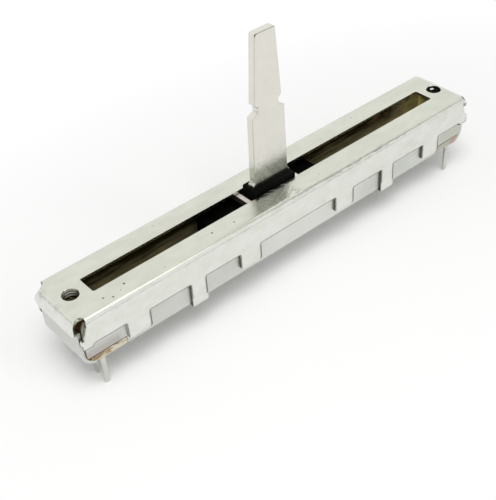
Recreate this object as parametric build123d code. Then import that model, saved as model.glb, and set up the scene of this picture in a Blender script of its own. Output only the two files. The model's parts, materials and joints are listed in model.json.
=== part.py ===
from build123d import *
import os

# Slide potentiometer with two gangs and 60 mm of travel, all sizes in millimetres.
# The origin is midway between the two tapped holes, on the outer top face of the cover.
# X runs along the travel, Y across the body, Z up along the lever.

# Cover: one sheet-metal pressing
body_length = 86.6
body_width = 12.0
cover_sheet = 0.5
cover_long_bend = 0.75
cover_end_bend = 2.4
slot_from_end = 6.1
slot_width = 3.7
slot_corner = 0.35
hole_from_end = 3.3
hole_core = 2.5
hole_lead_in = 0.15
collar_wall = 0.4
collar_depth = 1.3
end_flap_depth = 3.35
end_flap_from_side = 0.65
end_flap_corner = 1.2
relief_diameter = 1.95
relief_from_end = 0.9
relief_from_side = 0.3

# Side walls of the cover, with windows between the tabs
wall_top_from_end = 1.75
wall_low_from_end = 1.1
wall_slant_top = 1.6
wall_above_short_tab = 3.2
nib_below_wall = 0.45
nib_height = 1.75
nib_reach = 0.55
nib_corner = 0.3
nib_foot = 1.9
short_tab_above_floor = 1.45
short_tab_width = 4.3
short_tab_corner = 0.4
short_tab_from_end = 10.5
window_corner = 0.3
inner_short_tab_share = 0.324
crimp_tab_share = 0.651
crimp_tab_width = 3.0
crimp_tab_corner = 0.6
crimp_foot_length = 1.7
crimp_foot_corner = 0.6
crimp_bend = 0.8

# Tray inside the cover
tray_depth = 9.8
tray_sheet = 0.5
tray_bend = 0.7
tray_end_bend = 2.4
tray_side_gap = 0.05
tray_end_gap = 0.05
tray_end_below_bend = 0.2
tray_end_from_side = 0.3
tray_corner_slit = 0.15

# Windows in the tray for the board's ears and the terminals
ear_window_from_end = 7.2
lug_window_from_end = 1.7
lug_window_margin = 0.2

# Element board with its printed tracks, two for each gang
board_thickness = 1.2
board_window_gap = 0.1
board_ear_gap = 0.1
board_overhang = 1.05
board_chamfer = 0.45
resistive_place_share = 0.726
resistive_width_share = 0.316
collector_place_share = 0.347
collector_width_share = 0.274
collector_from_rivet = 7.8
track_thickness = 0.05
pad_overrun = 0.5

# Terminals and the rivets that hold them
terminal_from_end = 4.0
outer_pin_from_side = 1.5
inner_lug_reach = 2.1
pin_reach = 5.7
terminal_sheet = 0.4
terminal_lug_gap = 0.4
terminal_pin_width = 0.75
terminal_bend = 0.5
terminal_point = 0.15
rivet_barrel_share = 0.7
rivet_head_thickness = 0.25
rivet_clearance = 0.05

# Carriage that slides in the tray, with the boss in the slot
carriage_length = 24.3
end_clearance = 0.1
rest_place = -1.07
carriage_side_gap = 0.15
carriage_base_top = 3.5
carriage_end_round = 0.5
shoulder_end = 1.1
shoulder_top = 0.95
boss_end_wall = 0.4
boss_side_gap = 0.2
boss_height = 0.85
boss_end_round = 0.25
skid_length = 3.0
skid_height = 1.27
skid_clearance = 0.03
skid_track_gap = 0.1
stake_width = 0.8
stake_spacing = 4.4
stake_head = 1.3
stake_head_height = 0.3

# Lever blade moulded into the boss
lever_thickness = 1.4
lever_height = 27.65
lever_top_width = 4.1
lever_top_corner = 0.3
lever_neck_top = 15.9
lever_neck_width = 4.3
lever_neck_low = 14.35
lever_neck_high = 15.3
lever_above_neck_width = 5.65
lever_below_neck_width = 6.7
lever_below_neck_top = 13.75
lever_base_width = 7.1
lever_flare = 0.35
lever_flare_above_boss = 0.55
lever_flare_height = 0.45
lever_root_floor = 1.8
lever_edge_break = 0.1

# Friction spring on the carriage's shoulders
leaf_thickness = 0.12
leaf_bridge = 0.8
leaf_arm_width = 1.7
leaf_lip = 1.0
leaf_cover_gap = 0.06
leaf_end_gap = 0.1

# Wipers under the carriage, one for each gang
wiper_thickness = 0.2
wiper_plate_length = 7.4
finger_width = 0.4
finger_pitch = 0.6
finger_reach = 4.4
finger_upturn = 0.9
finger_rise = 0.5
finger_round = 0.6
finger_track_gap = 0.03

# Places on the cover that follow from the sizes above
half_length = body_length / 2
half_width = body_width / 2
inner_half_width = half_width - cover_sheet
slot_length = body_length - 2 * slot_from_end
hole_place = half_length - hole_from_end
collar_radius = hole_core / 2 + collar_wall
end_flap_half_width = half_width - end_flap_from_side
crimp_depth = tray_depth + 2 * cover_sheet
short_tab_depth = tray_depth - short_tab_above_floor
wall_depth = short_tab_depth - wall_above_short_tab
nib_bottom = wall_depth + nib_below_wall
nib_top = nib_bottom - nib_height
wall_top_half = half_length - wall_top_from_end
wall_low_half = half_length - wall_low_from_end
outer_short_tab = half_length - short_tab_from_end
inner_short_tab = outer_short_tab * inner_short_tab_share
crimp_tab_place = outer_short_tab * crimp_tab_share

# Places on the tray and the board that follow
tray_top = -cover_long_bend
tray_half_width = inner_half_width - tray_side_gap
tray_inner_half_width = tray_half_width - tray_sheet
tray_half_length = half_length - cover_sheet - tray_end_gap
tray_inner_half_length = tray_half_length - tray_sheet
tray_flat_half_length = tray_half_length - tray_end_bend
tray_end_half_width = tray_half_width - tray_end_from_side
tray_end_top = -(cover_end_bend + tray_end_below_bend)
tray_inner_bend = tray_bend - tray_sheet
tray_inner_end_bend = tray_end_bend - tray_sheet
board_bottom = -(tray_depth - tray_sheet)
board_top = board_bottom + board_thickness
board_half_length = tray_flat_half_length + board_overhang
board_half_width = tray_inner_half_width - tray_inner_bend
ear_window_start = tray_inner_half_length - ear_window_from_end
ear_window_inner = tray_half_width - tray_bend
ear_window_top = board_top + board_window_gap
track_top = board_top + track_thickness
resistive_place = board_half_width * resistive_place_share
resistive_width = board_half_width * resistive_width_share
collector_place = board_half_width * collector_place_share
collector_width = board_half_width * collector_width_share
terminal_place = half_length - terminal_from_end
inner_rivet_place = terminal_place - inner_lug_reach
outer_lug_reach = half_width - outer_pin_from_side - resistive_place
terminal_lug_width = resistive_place - collector_place - terminal_lug_gap
rivet_barrel = collector_width * rivet_barrel_share
rivet_head = terminal_lug_width
pin_tip = -(tray_depth + pin_reach)

# Places on the carriage, its leaf and its wipers that follow
travel = 2 * (tray_inner_half_length - end_clearance) - carriage_length
carbon_half_length = travel / 2 - pad_overrun
carriage_half_width = tray_inner_half_width - carriage_side_gap
carriage_base_bottom = -(board_top + skid_clearance + skid_height)
skid_inner = resistive_place + resistive_width / 2 + skid_track_gap
lever_root_depth = carriage_base_bottom - lever_root_floor
lever_flare_bottom = boss_height + lever_flare_above_boss
boss_length = lever_base_width + 2 * (lever_flare + boss_end_wall)
shoulder_length = boss_length + 2 * shoulder_end
leaf_half_length = shoulder_length / 2 + leaf_end_gap + leaf_thickness
wiper_top = -carriage_base_bottom
wiper_bottom = wiper_top - wiper_thickness
wiper_middle = (resistive_place + collector_place) / 2
wiper_plate_width = resistive_place - collector_place + finger_pitch + finger_width
wiper_plate_place = -(wiper_plate_length / 2 + finger_reach)


def along_x(face, start, end):
    """A section drawn in Y and Z, extruded along X from start to end."""
    return extrude(Plane.YZ.offset(start) * face, amount=end - start)


def along_y(face, half):
    """A section drawn in X and Z, extruded along Y to both sides of the middle."""
    return extrude(Plane.XZ * face, amount=half, both=True)


def upright(face, bottom, top):
    """A plan drawn in X and Y, extruded from bottom to top."""
    return extrude(Plane.XY.offset(bottom) * face, amount=top - bottom)


def block(x_low, x_high, y_low, y_high, z_low, z_high):
    """A plain block between two corners."""
    middle = Pos((x_low + x_high) / 2, (y_low + y_high) / 2, (z_low + z_high) / 2)
    return middle * Box(x_high - x_low, y_high - y_low, z_high - z_low)


def both_ends(shape):
    """The shape with its mirror image at the other end of the body."""
    return shape + mirror(shape, about=Plane.YZ)


def both_sides(shape):
    """The shape with its mirror image on the other long side."""
    return shape + mirror(shape, about=Plane.XZ)


def bent_section(half, top, bottom, top_round, bottom_round):
    """A rectangle about the middle, rounded as bent sheet is."""
    section = Pos(0, (top + bottom) / 2) * Rectangle(2 * half, top - bottom)
    rows = section.vertices().group_by(Axis.Y)
    if bottom_round > 0:
        section = fillet(rows[0], bottom_round)
        rows = section.vertices().group_by(Axis.Y)
    if top_round > 0:
        section = fillet(rows[-1], top_round)
    return section


def cover_end_profile(inset):
    """Side view of the cover's rounded ends, drawn in by the inset."""
    return bent_section(half_length - inset, -inset, -2 * tray_depth, cover_end_bend - inset, 0)


def side_wall_outline():
    """Front view of one long wall: slanted ends with nibs, short tabs and crimp tabs."""
    nib_end = wall_low_half + nib_reach
    band_points = [
        (0, 0),
        (wall_top_half, 0),
        (wall_top_half, -wall_slant_top),
        (wall_low_half, -nib_top),
        (nib_end, -nib_top),
        (nib_end, -nib_bottom),
        (nib_end - nib_foot, -nib_bottom),
        (nib_end - nib_foot, -wall_depth),
        (0, -wall_depth),
    ]
    band = make_face(Polyline(*band_points, close=True))
    nib_corners = band.vertices().group_by(Axis.X)[-1]
    half = fillet(nib_corners, nib_corner)
    corner_places = [nib_end - nib_foot]
    for place in (inner_short_tab, outer_short_tab):
        tab = Pos(place, -short_tab_depth / 2) * Rectangle(short_tab_width, short_tab_depth)
        half += fillet(tab.vertices().group_by(Axis.Y)[0], short_tab_corner)
        corner_places += [place - short_tab_width / 2, place + short_tab_width / 2]
    half += Pos(crimp_tab_place, -crimp_depth / 2) * Rectangle(crimp_tab_width, crimp_depth)
    corner_places += [crimp_tab_place - crimp_tab_width / 2, crimp_tab_place + crimp_tab_width / 2]
    corners = [half.vertices().sort_by_distance((place, -wall_depth))[0] for place in corner_places]
    half = fillet(corners, window_corner)
    return (half + mirror(half, about=Plane.YZ)) & cover_end_profile(0)


def rounded_crimp_view():
    """Front view that holds all of the cover but the lower corners of its crimp tabs."""
    foot_bottom = tray_depth + cover_sheet
    above = foot_bottom - crimp_tab_corner
    view = Pos(0, -above / 2) * Rectangle(body_length, above)
    tab = Pos(crimp_tab_place, -foot_bottom / 2) * Rectangle(crimp_tab_width, foot_bottom)
    tab = fillet(tab.vertices().group_by(Axis.Y)[0], crimp_tab_corner)
    return view + tab + mirror(tab, about=Plane.YZ)


def cover_channel():
    """Top plate and long walls, with the crimp tabs folded under the tray."""
    foot_bottom = -(tray_depth + cover_sheet)
    outer = bent_section(half_width, 0, foot_bottom, cover_long_bend, crimp_bend)
    inner_round = cover_long_bend - cover_sheet
    foot_round = crimp_bend - cover_sheet
    inner = bent_section(inner_half_width, -cover_sheet, -tray_depth, inner_round, foot_round)
    foot_gap = inner_half_width - crimp_foot_length
    between_feet = Pos(0, -tray_depth) * Rectangle(2 * foot_gap, 2 * (cover_sheet + crimp_bend))
    tube = along_x(outer - inner - between_feet, -half_length, half_length)
    channel = tube & along_y(side_wall_outline(), body_width)
    feet = [
        edge
        for edge in channel.edges().filter_by(Axis.Z)
        if edge.center().Z < -tray_depth and abs(abs(edge.center().Y) - foot_gap) < cover_sheet / 2
    ]
    return fillet(feet, crimp_foot_corner) & along_y(rounded_crimp_view(), half_width)


def corner_relief(depth):
    """Round cut through the corners of the top plate, at the positive end."""
    centre = Pos(half_length - relief_from_end, half_width - relief_from_side)
    return both_sides(upright(centre * Circle(relief_diameter / 2), -depth, cover_sheet))


def end_flap():
    """One end of the top plate, curved down into a flap with round corners."""
    section = cover_end_profile(0) - cover_end_profile(cover_sheet)
    end_view = Pos(0, -end_flap_depth / 2) * Rectangle(2 * end_flap_half_width, end_flap_depth)
    end_view = fillet(end_view.vertices().group_by(Axis.Y)[0], end_flap_corner)
    flap = along_y(section, half_width) & along_x(end_view, hole_place, half_length)
    return flap - corner_relief(cover_end_bend)


def make_cover():
    """The whole cover: channel, end flaps, slot, tapped collars and corner reliefs."""
    cover = cover_channel() + both_ends(end_flap())
    collar = upright(Circle(collar_radius), -cover_sheet - collar_depth, -cover_sheet / 2)
    cover += both_ends(Pos(hole_place, 0) * collar)
    slot = RectangleRounded(slot_length, slot_width, slot_corner)
    cover -= upright(slot, -2 * cover_sheet, cover_sheet)
    bore = upright(Circle(hole_core / 2), -cover_sheet - 2 * collar_depth, cover_sheet)
    bore += Pos(0, 0, -hole_lead_in / 2) * Cone(hole_core / 2, hole_core / 2 + hole_lead_in, hole_lead_in)
    cover -= both_ends(Pos(hole_place, 0) * bore)
    return cover - both_ends(corner_relief(wall_slant_top))


def tray_channel():
    """Floor and long walls, the walls ending in curves just inside the end bends."""
    outer = bent_section(tray_half_width, tray_top, -tray_depth, 0, tray_bend)
    inner = bent_section(tray_inner_half_width, 0, board_bottom, 0, tray_inner_bend)
    channel = along_x(outer - inner, -tray_half_length, tray_half_length)
    flat = Pos(0, -tray_depth / 2) * Rectangle(2 * tray_flat_half_length, tray_depth)
    wall_end = tray_inner_half_length - tray_corner_slit
    wall_round = tray_inner_end_bend - tray_corner_slit
    walls = bent_section(wall_end, tray_top, board_bottom + tray_corner_slit, wall_round, wall_round)
    channel &= along_y(flat + walls, half_width)
    ear_window = block(
        ear_window_start, half_length, ear_window_inner, half_width, -2 * tray_depth, ear_window_top
    )
    return channel - both_sides(both_ends(ear_window))


def tray_ends():
    """End walls bent up from the floor, free of the long walls."""
    outer = bent_section(tray_half_length, tray_end_top, -tray_depth, 0, tray_end_bend)
    inner = bent_section(tray_inner_half_length, 0, board_bottom, 0, tray_inner_end_bend)
    strip = along_y(outer - inner, tray_end_half_width)
    flat = tray_flat_half_length
    return strip - block(-flat, flat, -half_width, half_width, -2 * tray_depth, 0)


def lug_window(x_low, x_high, y_low, y_high):
    """Window through the tray's floor around a lug, alike on both long sides."""
    return both_sides(block(x_low, x_high, y_low, y_high, -2 * tray_depth, ear_window_top))


def make_tray():
    """Tray bent up from one sheet, with windows for the board's ears and the lugs."""
    margin = terminal_lug_width / 2 + lug_window_margin
    outer_window = lug_window(
        terminal_place - margin,
        tray_inner_half_length - lug_window_from_end,
        resistive_place - margin,
        half_width,
    )
    inner_window = lug_window(
        -terminal_place - terminal_sheet / 2 - lug_window_margin,
        -inner_rivet_place + margin,
        collector_place - margin,
        resistive_place - margin,
    )
    return tray_channel() + tray_ends() - both_ends(outer_window) - inner_window


def outer_spots():
    """Places of the rivets at the ends of the resistive tracks."""
    return [
        Pos(x_side * terminal_place, y_side * resistive_place)
        for x_side in (-1, 1)
        for y_side in (-1, 1)
    ]


def inner_spots():
    """Places of the rivets at the left ends of the collector tracks."""
    return [Pos(-inner_rivet_place, y_side * collector_place) for y_side in (-1, 1)]


def rivet_hole():
    """Outline of a hole that a rivet's barrel passes."""
    return Circle(rivet_barrel / 2 + rivet_clearance)


def make_board():
    """Laminate board on the tray's floor, with ears, chamfered ends and rivet holes."""
    plan = Rectangle(2 * board_half_length, 2 * board_half_width)
    ear_start = ear_window_start + board_ear_gap
    ear_length = board_half_length - ear_start
    ear = Pos(ear_start + ear_length / 2, 0) * Rectangle(ear_length, 2 * tray_half_width)
    plan += ear + mirror(ear, about=Plane.YZ)
    for spot in outer_spots() + inner_spots():
        plan -= spot * rivet_hole()
    side_points = [
        (0, board_top),
        (board_half_length, board_top),
        (board_half_length, board_bottom + board_chamfer),
        (tray_flat_half_length, board_bottom),
        (0, board_bottom),
    ]
    side_view = make_face(Polyline(*side_points, close=True))
    side_view += mirror(side_view, about=Plane.YZ)
    return upright(plan, board_bottom, board_top) & along_y(side_view, half_width)


def make_carbon_track(y_side):
    """Resistive track along one side of the board."""
    plan = Pos(0, y_side * resistive_place) * Rectangle(2 * carbon_half_length, resistive_width)
    return upright(plan, board_top, track_top)


def make_end_pad(x_side, y_side):
    """Silver pad between one end of a resistive track and its rivet."""
    length = terminal_place + rivet_head / 2 - carbon_half_length
    middle = x_side * (carbon_half_length + length / 2)
    plan = Pos(middle, y_side * resistive_place) * Rectangle(length, resistive_width)
    plan -= Pos(x_side * terminal_place, y_side * resistive_place) * rivet_hole()
    return upright(plan, board_top, track_top)


def make_collector(y_side):
    """Silver collector track, from its rivet at the left to just past the travel."""
    start = -inner_rivet_place - rivet_head / 2
    end = terminal_place - collector_from_rivet
    plan = Pos((start + end) / 2, y_side * collector_place) * Rectangle(end - start, collector_width)
    plan -= Pos(-inner_rivet_place, y_side * collector_place) * rivet_hole()
    return upright(plan, board_top, track_top)


def bent_terminal(reach):
    """Lug under the board from its rivet along Y, bent down into a flat pin at the reach."""
    lug_start = -terminal_lug_width / 2
    lug_bottom = board_bottom - terminal_sheet
    outside = reach + terminal_sheet / 2
    inside = outside - terminal_sheet
    outline = Polyline(
        (lug_start, board_bottom),
        (outside, board_bottom),
        (outside, pin_tip),
        (inside, pin_tip),
        (inside, lug_bottom),
        (lug_start, lug_bottom),
        close=True,
    )
    section = make_face(outline)
    bend_outer = section.vertices().sort_by_distance((outside, board_bottom))[0]
    section = fillet(bend_outer, terminal_bend)
    bend_inner = section.vertices().sort_by_distance((inside, lug_bottom))[0]
    section = fillet(bend_inner, terminal_bend - terminal_sheet)
    strip = along_x(section, -terminal_lug_width / 2, terminal_lug_width / 2)
    lug_depth = terminal_bend - board_bottom
    front_view = Pos(0, -lug_depth / 2) * Rectangle(terminal_lug_width, lug_depth)
    front_view += Pos(0, pin_tip / 2) * Rectangle(terminal_pin_width, -pin_tip)
    tip = front_view.vertices().group_by(Axis.Y)[0]
    strip &= along_y(chamfer(tip, terminal_point), body_width)
    return strip - upright(rivet_hole(), pin_tip, 0)


def make_outer_terminal(x_side, y_side):
    """Terminal of one end of a resistive track, with its pin near the long side."""
    terminal = bent_terminal(outer_lug_reach)
    if y_side < 0:
        terminal = mirror(terminal, about=Plane.XZ)
    return Pos(x_side * terminal_place, y_side * resistive_place) * terminal


def make_inner_terminal(y_side):
    """Terminal of one collector track, its lug running to the left end."""
    terminal = Rot(0, 0, 90) * bent_terminal(inner_lug_reach)
    return Pos(-inner_rivet_place, y_side * collector_place) * terminal


def make_rivet():
    """Rivet about its own axis, with a head on the print and one under the lug."""
    lower_seat = board_bottom - terminal_sheet
    head = Circle(rivet_head / 2)
    rivet = upright(Circle(rivet_barrel / 2), lower_seat, track_top)
    rivet += upright(head, track_top, track_top + rivet_head_thickness)
    return rivet + upright(head, lower_seat - rivet_head_thickness, lower_seat)


def carriage_body():
    """Base, shoulders and boss of the carriage about its own middle."""
    half = carriage_length / 2
    base = block(
        -half, half, -carriage_half_width, carriage_half_width, -carriage_base_bottom, -carriage_base_top
    )
    base = fillet(base.edges().filter_by(Axis.Z), carriage_end_round)
    shoulder = block(
        -shoulder_length / 2, shoulder_length / 2,
        -carriage_half_width, carriage_half_width,
        -carriage_base_bottom, -shoulder_top,
    )
    boss_half_width = slot_width / 2 - boss_side_gap
    boss_view = Pos(0, (boss_height - carriage_base_top) / 2) * Rectangle(
        boss_length, boss_height + carriage_base_top
    )
    boss_view = fillet(boss_view.vertices().group_by(Axis.Y)[-1], boss_end_round)
    return base + shoulder + along_y(boss_view, boss_half_width)


def carriage_skids():
    """Four skids that run on the edges of the board, outside the tracks."""
    far = carriage_length / 2 - carriage_end_round
    bottom = board_top + skid_clearance
    skid = block(far - skid_length, far, skid_inner, carriage_half_width, bottom, -carriage_base_bottom)
    return both_sides(both_ends(skid))


def stake_places():
    """Middles of the two posts that hold a wiper, from the middle of its plate."""
    return [Pos(side * stake_spacing / 2, 0) for side in (-1, 1)]


def wiper_stakes():
    """Moulded posts through the wipers, each ended by a flattened head."""
    stake = upright(Rectangle(stake_width, stake_width), wiper_bottom, wiper_top)
    stake += upright(Rectangle(stake_head, stake_head), wiper_bottom - stake_head_height, wiper_bottom)
    middle = Pos(wiper_plate_place, wiper_middle)
    pair = [middle * place * stake for place in stake_places()]
    return both_sides(pair[0] + pair[1])


def lever_outline():
    """Front view of the blade: tapered finger part, neck, and the wider part below it."""
    base_half = lever_base_width / 2
    flare_half = base_half + lever_flare
    points = [
        (0, -lever_root_depth),
        (flare_half, -lever_root_depth),
        (flare_half, lever_flare_bottom),
        (base_half, lever_flare_bottom + lever_flare_height),
        (lever_below_neck_width / 2, lever_below_neck_top),
        (lever_neck_width / 2, lever_neck_low),
        (lever_neck_width / 2, lever_neck_high),
        (lever_above_neck_width / 2, lever_neck_top),
        (lever_top_width / 2, lever_height),
        (0, lever_height),
    ]
    half = make_face(Polyline(*points, close=True))
    top_corner = half.vertices().sort_by_distance((lever_top_width / 2, lever_height))[0]
    half = fillet(top_corner, lever_top_corner)
    return half + mirror(half, about=Plane.YZ)


def make_lever():
    """Flat blade with slightly broken edges."""
    blade = along_y(lever_outline(), lever_thickness / 2)
    faces = blade.faces().filter_by(Axis.Y)
    edges = [
        edge
        for face in faces
        for edge in face.edges()
        if edge.center().Z > lever_flare_bottom + lever_flare_height / 4
    ]
    blade = chamfer(edges, lever_edge_break)
    return Pos(rest_place, 0) * blade


def make_carriage():
    """Moulded carriage, with the blade's root and the wipers' posts in place."""
    body = carriage_body() + carriage_skids() + wiper_stakes()
    root_view = Pos(0, (boss_height - lever_root_depth) / 2) * Rectangle(
        lever_base_width + 2 * lever_flare, boss_height + lever_root_depth
    )
    body -= along_y(root_view, lever_thickness / 2)
    return Pos(rest_place, 0) * body


def make_leaf():
    """Leaf frame around the boss: a bridge across the slot at each end and two bowed arms."""
    seat = -shoulder_top + leaf_thickness / 2
    crest = -cover_sheet - leaf_cover_gap - leaf_thickness / 2
    arm_end = leaf_half_length - leaf_bridge
    hollow_half = carriage_half_width - leaf_arm_width
    bow = Spline((-arm_end, seat), (0, crest), (arm_end, seat), tangents=[(1, 0), (1, 0), (1, 0)])
    arms = along_y(trace(bow, leaf_thickness), carriage_half_width)
    arms -= block(-arm_end, arm_end, -hollow_half, hollow_half, -carriage_base_top, 0)
    bridge = block(
        arm_end, leaf_half_length, -carriage_half_width, carriage_half_width,
        -shoulder_top, -shoulder_top + leaf_thickness,
    )
    lip = block(
        leaf_half_length - leaf_thickness, leaf_half_length, -hollow_half, hollow_half,
        -shoulder_top - leaf_lip, -shoulder_top,
    )
    return Pos(rest_place, 0) * (arms + both_ends(bridge + lip))


def wiper_finger():
    """One sprung finger, sloping down to touch its track and turning up at the end."""
    start = wiper_plate_length / 2
    touch = track_top + finger_track_gap
    low = [
        (start - wiper_thickness, wiper_bottom),
        (start, wiper_bottom),
        (start + finger_reach, touch),
        (start + finger_reach + finger_upturn, touch + finger_rise),
    ]
    high = [(x, z + wiper_thickness) for x, z in reversed(low)]
    section = make_face(Polyline(*low, *high, close=True))
    for height in (touch, touch + wiper_thickness):
        bend = section.vertices().sort_by_distance((start + finger_reach, height))[0]
        section = fillet(bend, finger_round)
    return along_y(section, finger_width / 2)


def make_wiper(y_side):
    """Contact spring of one gang: a plate with two fingers on each of its tracks."""
    plan = Rectangle(wiper_plate_length, wiper_plate_width)
    for place in stake_places():
        plan -= place * Rectangle(stake_width, stake_width)
    wiper = upright(plan, wiper_bottom, wiper_top)
    finger = wiper_finger()
    for track in (resistive_place, collector_place):
        for side in (-1, 1):
            wiper += Pos(0, track - wiper_middle + side * finger_pitch / 2) * finger
    if y_side < 0:
        wiper = mirror(wiper, about=Plane.XZ)
    return Pos(rest_place + wiper_plate_place, y_side * wiper_middle) * wiper


def track_parts():
    """The printed tracks, end pads and wiper of each gang by name."""
    parts = {}
    for ending, y_side in {"": -1, "_back": 1}.items():
        parts[f"carbon_track{ending}"] = make_carbon_track(y_side)
        parts[f"collector_track{ending}"] = make_collector(y_side)
        parts[f"end_pad_left{ending}"] = make_end_pad(-1, y_side)
        parts[f"end_pad_right{ending}"] = make_end_pad(1, y_side)
        parts[f"wiper{ending}"] = make_wiper(y_side)
    return parts


def terminal_parts():
    """The terminals and their rivets by name."""
    parts = {}
    for side_name, y_side in {"front": -1, "back": 1}.items():
        for end_name, x_side in {"left": -1, "right": 1}.items():
            spot = Pos(x_side * terminal_place, y_side * resistive_place)
            parts[f"terminal_{side_name}_{end_name}"] = make_outer_terminal(x_side, y_side)
            parts[f"rivet_{side_name}_{end_name}"] = spot * make_rivet()
        spot = Pos(-inner_rivet_place, y_side * collector_place)
        parts[f"terminal_{side_name}_inner"] = make_inner_terminal(y_side)
        parts[f"rivet_{side_name}_inner"] = spot * make_rivet()
    return parts


def all_parts():
    """Every piece of the potentiometer by name."""
    parts = {
        "cover": make_cover(),
        "tray": make_tray(),
        "element_board": make_board(),
        "carriage": make_carriage(),
        "lever": make_lever(),
        "friction_leaf": make_leaf(),
    }
    return parts | track_parts() | terminal_parts()


os.makedirs("parts", exist_ok=True)
for name, shape in all_parts().items():
    export_step(shape, f"parts/{name}.step")
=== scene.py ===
import json
import math
from collections import namedtuple

import bmesh
import bpy
from mathutils import Matrix, Vector


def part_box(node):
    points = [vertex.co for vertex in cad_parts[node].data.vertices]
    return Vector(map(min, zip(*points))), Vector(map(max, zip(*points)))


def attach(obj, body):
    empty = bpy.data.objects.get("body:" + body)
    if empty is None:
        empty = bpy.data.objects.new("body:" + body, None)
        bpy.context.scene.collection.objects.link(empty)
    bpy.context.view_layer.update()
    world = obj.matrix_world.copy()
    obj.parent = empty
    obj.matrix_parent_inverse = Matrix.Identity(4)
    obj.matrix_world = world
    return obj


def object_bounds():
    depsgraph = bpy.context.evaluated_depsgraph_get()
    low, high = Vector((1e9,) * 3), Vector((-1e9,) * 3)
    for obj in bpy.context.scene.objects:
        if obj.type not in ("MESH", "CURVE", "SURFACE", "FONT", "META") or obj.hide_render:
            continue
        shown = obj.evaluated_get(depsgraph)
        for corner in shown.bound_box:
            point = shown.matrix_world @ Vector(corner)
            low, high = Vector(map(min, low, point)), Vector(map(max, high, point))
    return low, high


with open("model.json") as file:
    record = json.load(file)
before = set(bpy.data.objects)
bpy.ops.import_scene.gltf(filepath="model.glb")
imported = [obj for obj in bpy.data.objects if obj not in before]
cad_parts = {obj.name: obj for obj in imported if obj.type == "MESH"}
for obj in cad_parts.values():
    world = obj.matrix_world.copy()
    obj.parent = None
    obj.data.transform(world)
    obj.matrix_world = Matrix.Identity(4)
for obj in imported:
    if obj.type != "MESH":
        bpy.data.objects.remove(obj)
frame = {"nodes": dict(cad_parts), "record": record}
cad_low, cad_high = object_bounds()

# Looks of the slide potentiometer: materials, threads, wear, floor, light and camera.
# Lengths named _mm, and those in zones and bands, are in millimetres. All others are in metres.
MM = 0.001

# A noise pattern: its cells per metre along X, Y and Z, detail, levels taken as none and all, and roughness.
Pattern = namedtuple("Pattern", "cells detail low high rough", defaults=(0.0, 1.0, 0.55))
# A tint: a colour laid over another, and how strongly.
Tint = namedtuple("Tint", "colour strength")
# Rolled sheet: two colours and two roughnesses that it varies between, its brushed lines and rounded edges.
Sheet = namedtuple("Sheet", "light dark roughness brush relief_mm edge_mm")
# A plain surface: the same, with an even grain in cells per metre.
Plain = namedtuple("Plain", "light dark metallic roughness grain relief_mm gloss")

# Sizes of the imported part, which the wear and the threads follow
half_length_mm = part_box("cover")[1].x / MM
half_width_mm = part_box("cover")[1].y / MM
tray_half_length_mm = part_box("tray")[1].x / MM
tray_half_width_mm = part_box("tray")[1].y / MM
tray_bottom_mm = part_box("tray")[0].z / MM
lever_middle_mm = (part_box("lever")[0].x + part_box("lever")[1].x) / 2 / MM
screws = next(mount["dims"] for mount in frame["record"]["mounts"] if mount["name"] == "panel_screws")
hole_place_mm = screws["spacing_x_mm"] / 2

# Camera at the photograph's viewing angle
camera_place_mm = (-83.461, -96.764, 91.864)
camera_azimuth = -38.4913
camera_elevation = 39.8717
camera_roll = -4.055
camera_lens = 68.3454
camera_sensor = 36.0
camera_clip_near = 0.01
camera_clip_far = 50.0
level_view = 90
matrix_size = 4

# Floor, which turns wholly white round the part's shadow, in an oval that is longer along X
floor_half_width = 3.0
floor_colour = (0.95, 0.95, 0.945, 1)
floor_roughness = 0.9
floor_gloss = 0.1
floor_squeeze = (0.6, 1.0, 1.0)
floor_white_from = 0.029
floor_white_at = 0.066

# World and lamps
white = (1, 1, 1, 1)
world_diffuse_strength = 0.45
key_place = (-0.12, -0.16, 0.48)
key_size = 0.32
key_power = 1.75
strip_place = (0.12, -0.33, 0.34)
strip_length = 0.13
strip_width = 0.3
strip_power = 0.2

# Grey card that the metal mirrors
card_place = (0.29, -0.31, 0.33)
card_length = 0.14
card_width = 0.36
card_colour = (0.205, 0.22, 0.235, 1)

# Threads of the two tapped holes, whose foot and crest are shares of the pitch
thread_bore_mm = 2 * screws["hole_r_mm"]
thread_pitch_mm = 0.5
thread_ridge_mm = 0.13
thread_depth_mm = 1.7
thread_start_mm = 0.2
thread_foot = 0.47
thread_crest = 0.07
thread_steps = 40

# Fineness of edges and crevices
bevel_samples = 4
line_samples = 6
crevice_samples = 8


def add(tree, kind, settings=None, inputs=None):
    """A shader node with its settings and socket values."""
    node = tree.nodes.new(kind)
    for name, value in (settings or {}).items():
        setattr(node, name, value)
    for name, value in (inputs or {}).items():
        node.inputs[name].default_value = value
    return node


def start_material(name, inputs):
    """A new material with one principled shader."""
    material = bpy.data.materials.new(name)
    material.use_nodes = True
    tree = material.node_tree
    tree.nodes.clear()
    output = add(tree, "ShaderNodeOutputMaterial")
    shader = add(tree, "ShaderNodeBsdfPrincipled", inputs=inputs)
    tree.links.new(shader.outputs["BSDF"], output.inputs["Surface"])
    return material, tree, shader


def place(tree):
    """The point on the piece, in metres, moving with the piece."""
    return add(tree, "ShaderNodeTexCoord").outputs["Object"]


def split(tree, vector):
    """The X, Y and Z of a vector as three numbers."""
    parts = add(tree, "ShaderNodeSeparateXYZ")
    tree.links.new(vector, parts.inputs["Vector"])
    return parts.outputs["X"], parts.outputs["Y"], parts.outputs["Z"]


def combined(tree, operation, first, second=0.0):
    """Two numbers put together by a named operation."""
    node = add(tree, "ShaderNodeMath", settings={"operation": operation})
    for socket, value in zip(node.inputs, (first, second)):
        if isinstance(value, (int, float)):
            socket.default_value = value
        else:
            tree.links.new(value, socket)
    return node.outputs["Value"]


def times(tree, first, *others):
    """All the numbers multiplied."""
    for other in others:
        first = combined(tree, "MULTIPLY", first, other)
    return first


def larger(tree, first, second):
    """The larger of two numbers."""
    return combined(tree, "MAXIMUM", first, second)


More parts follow.
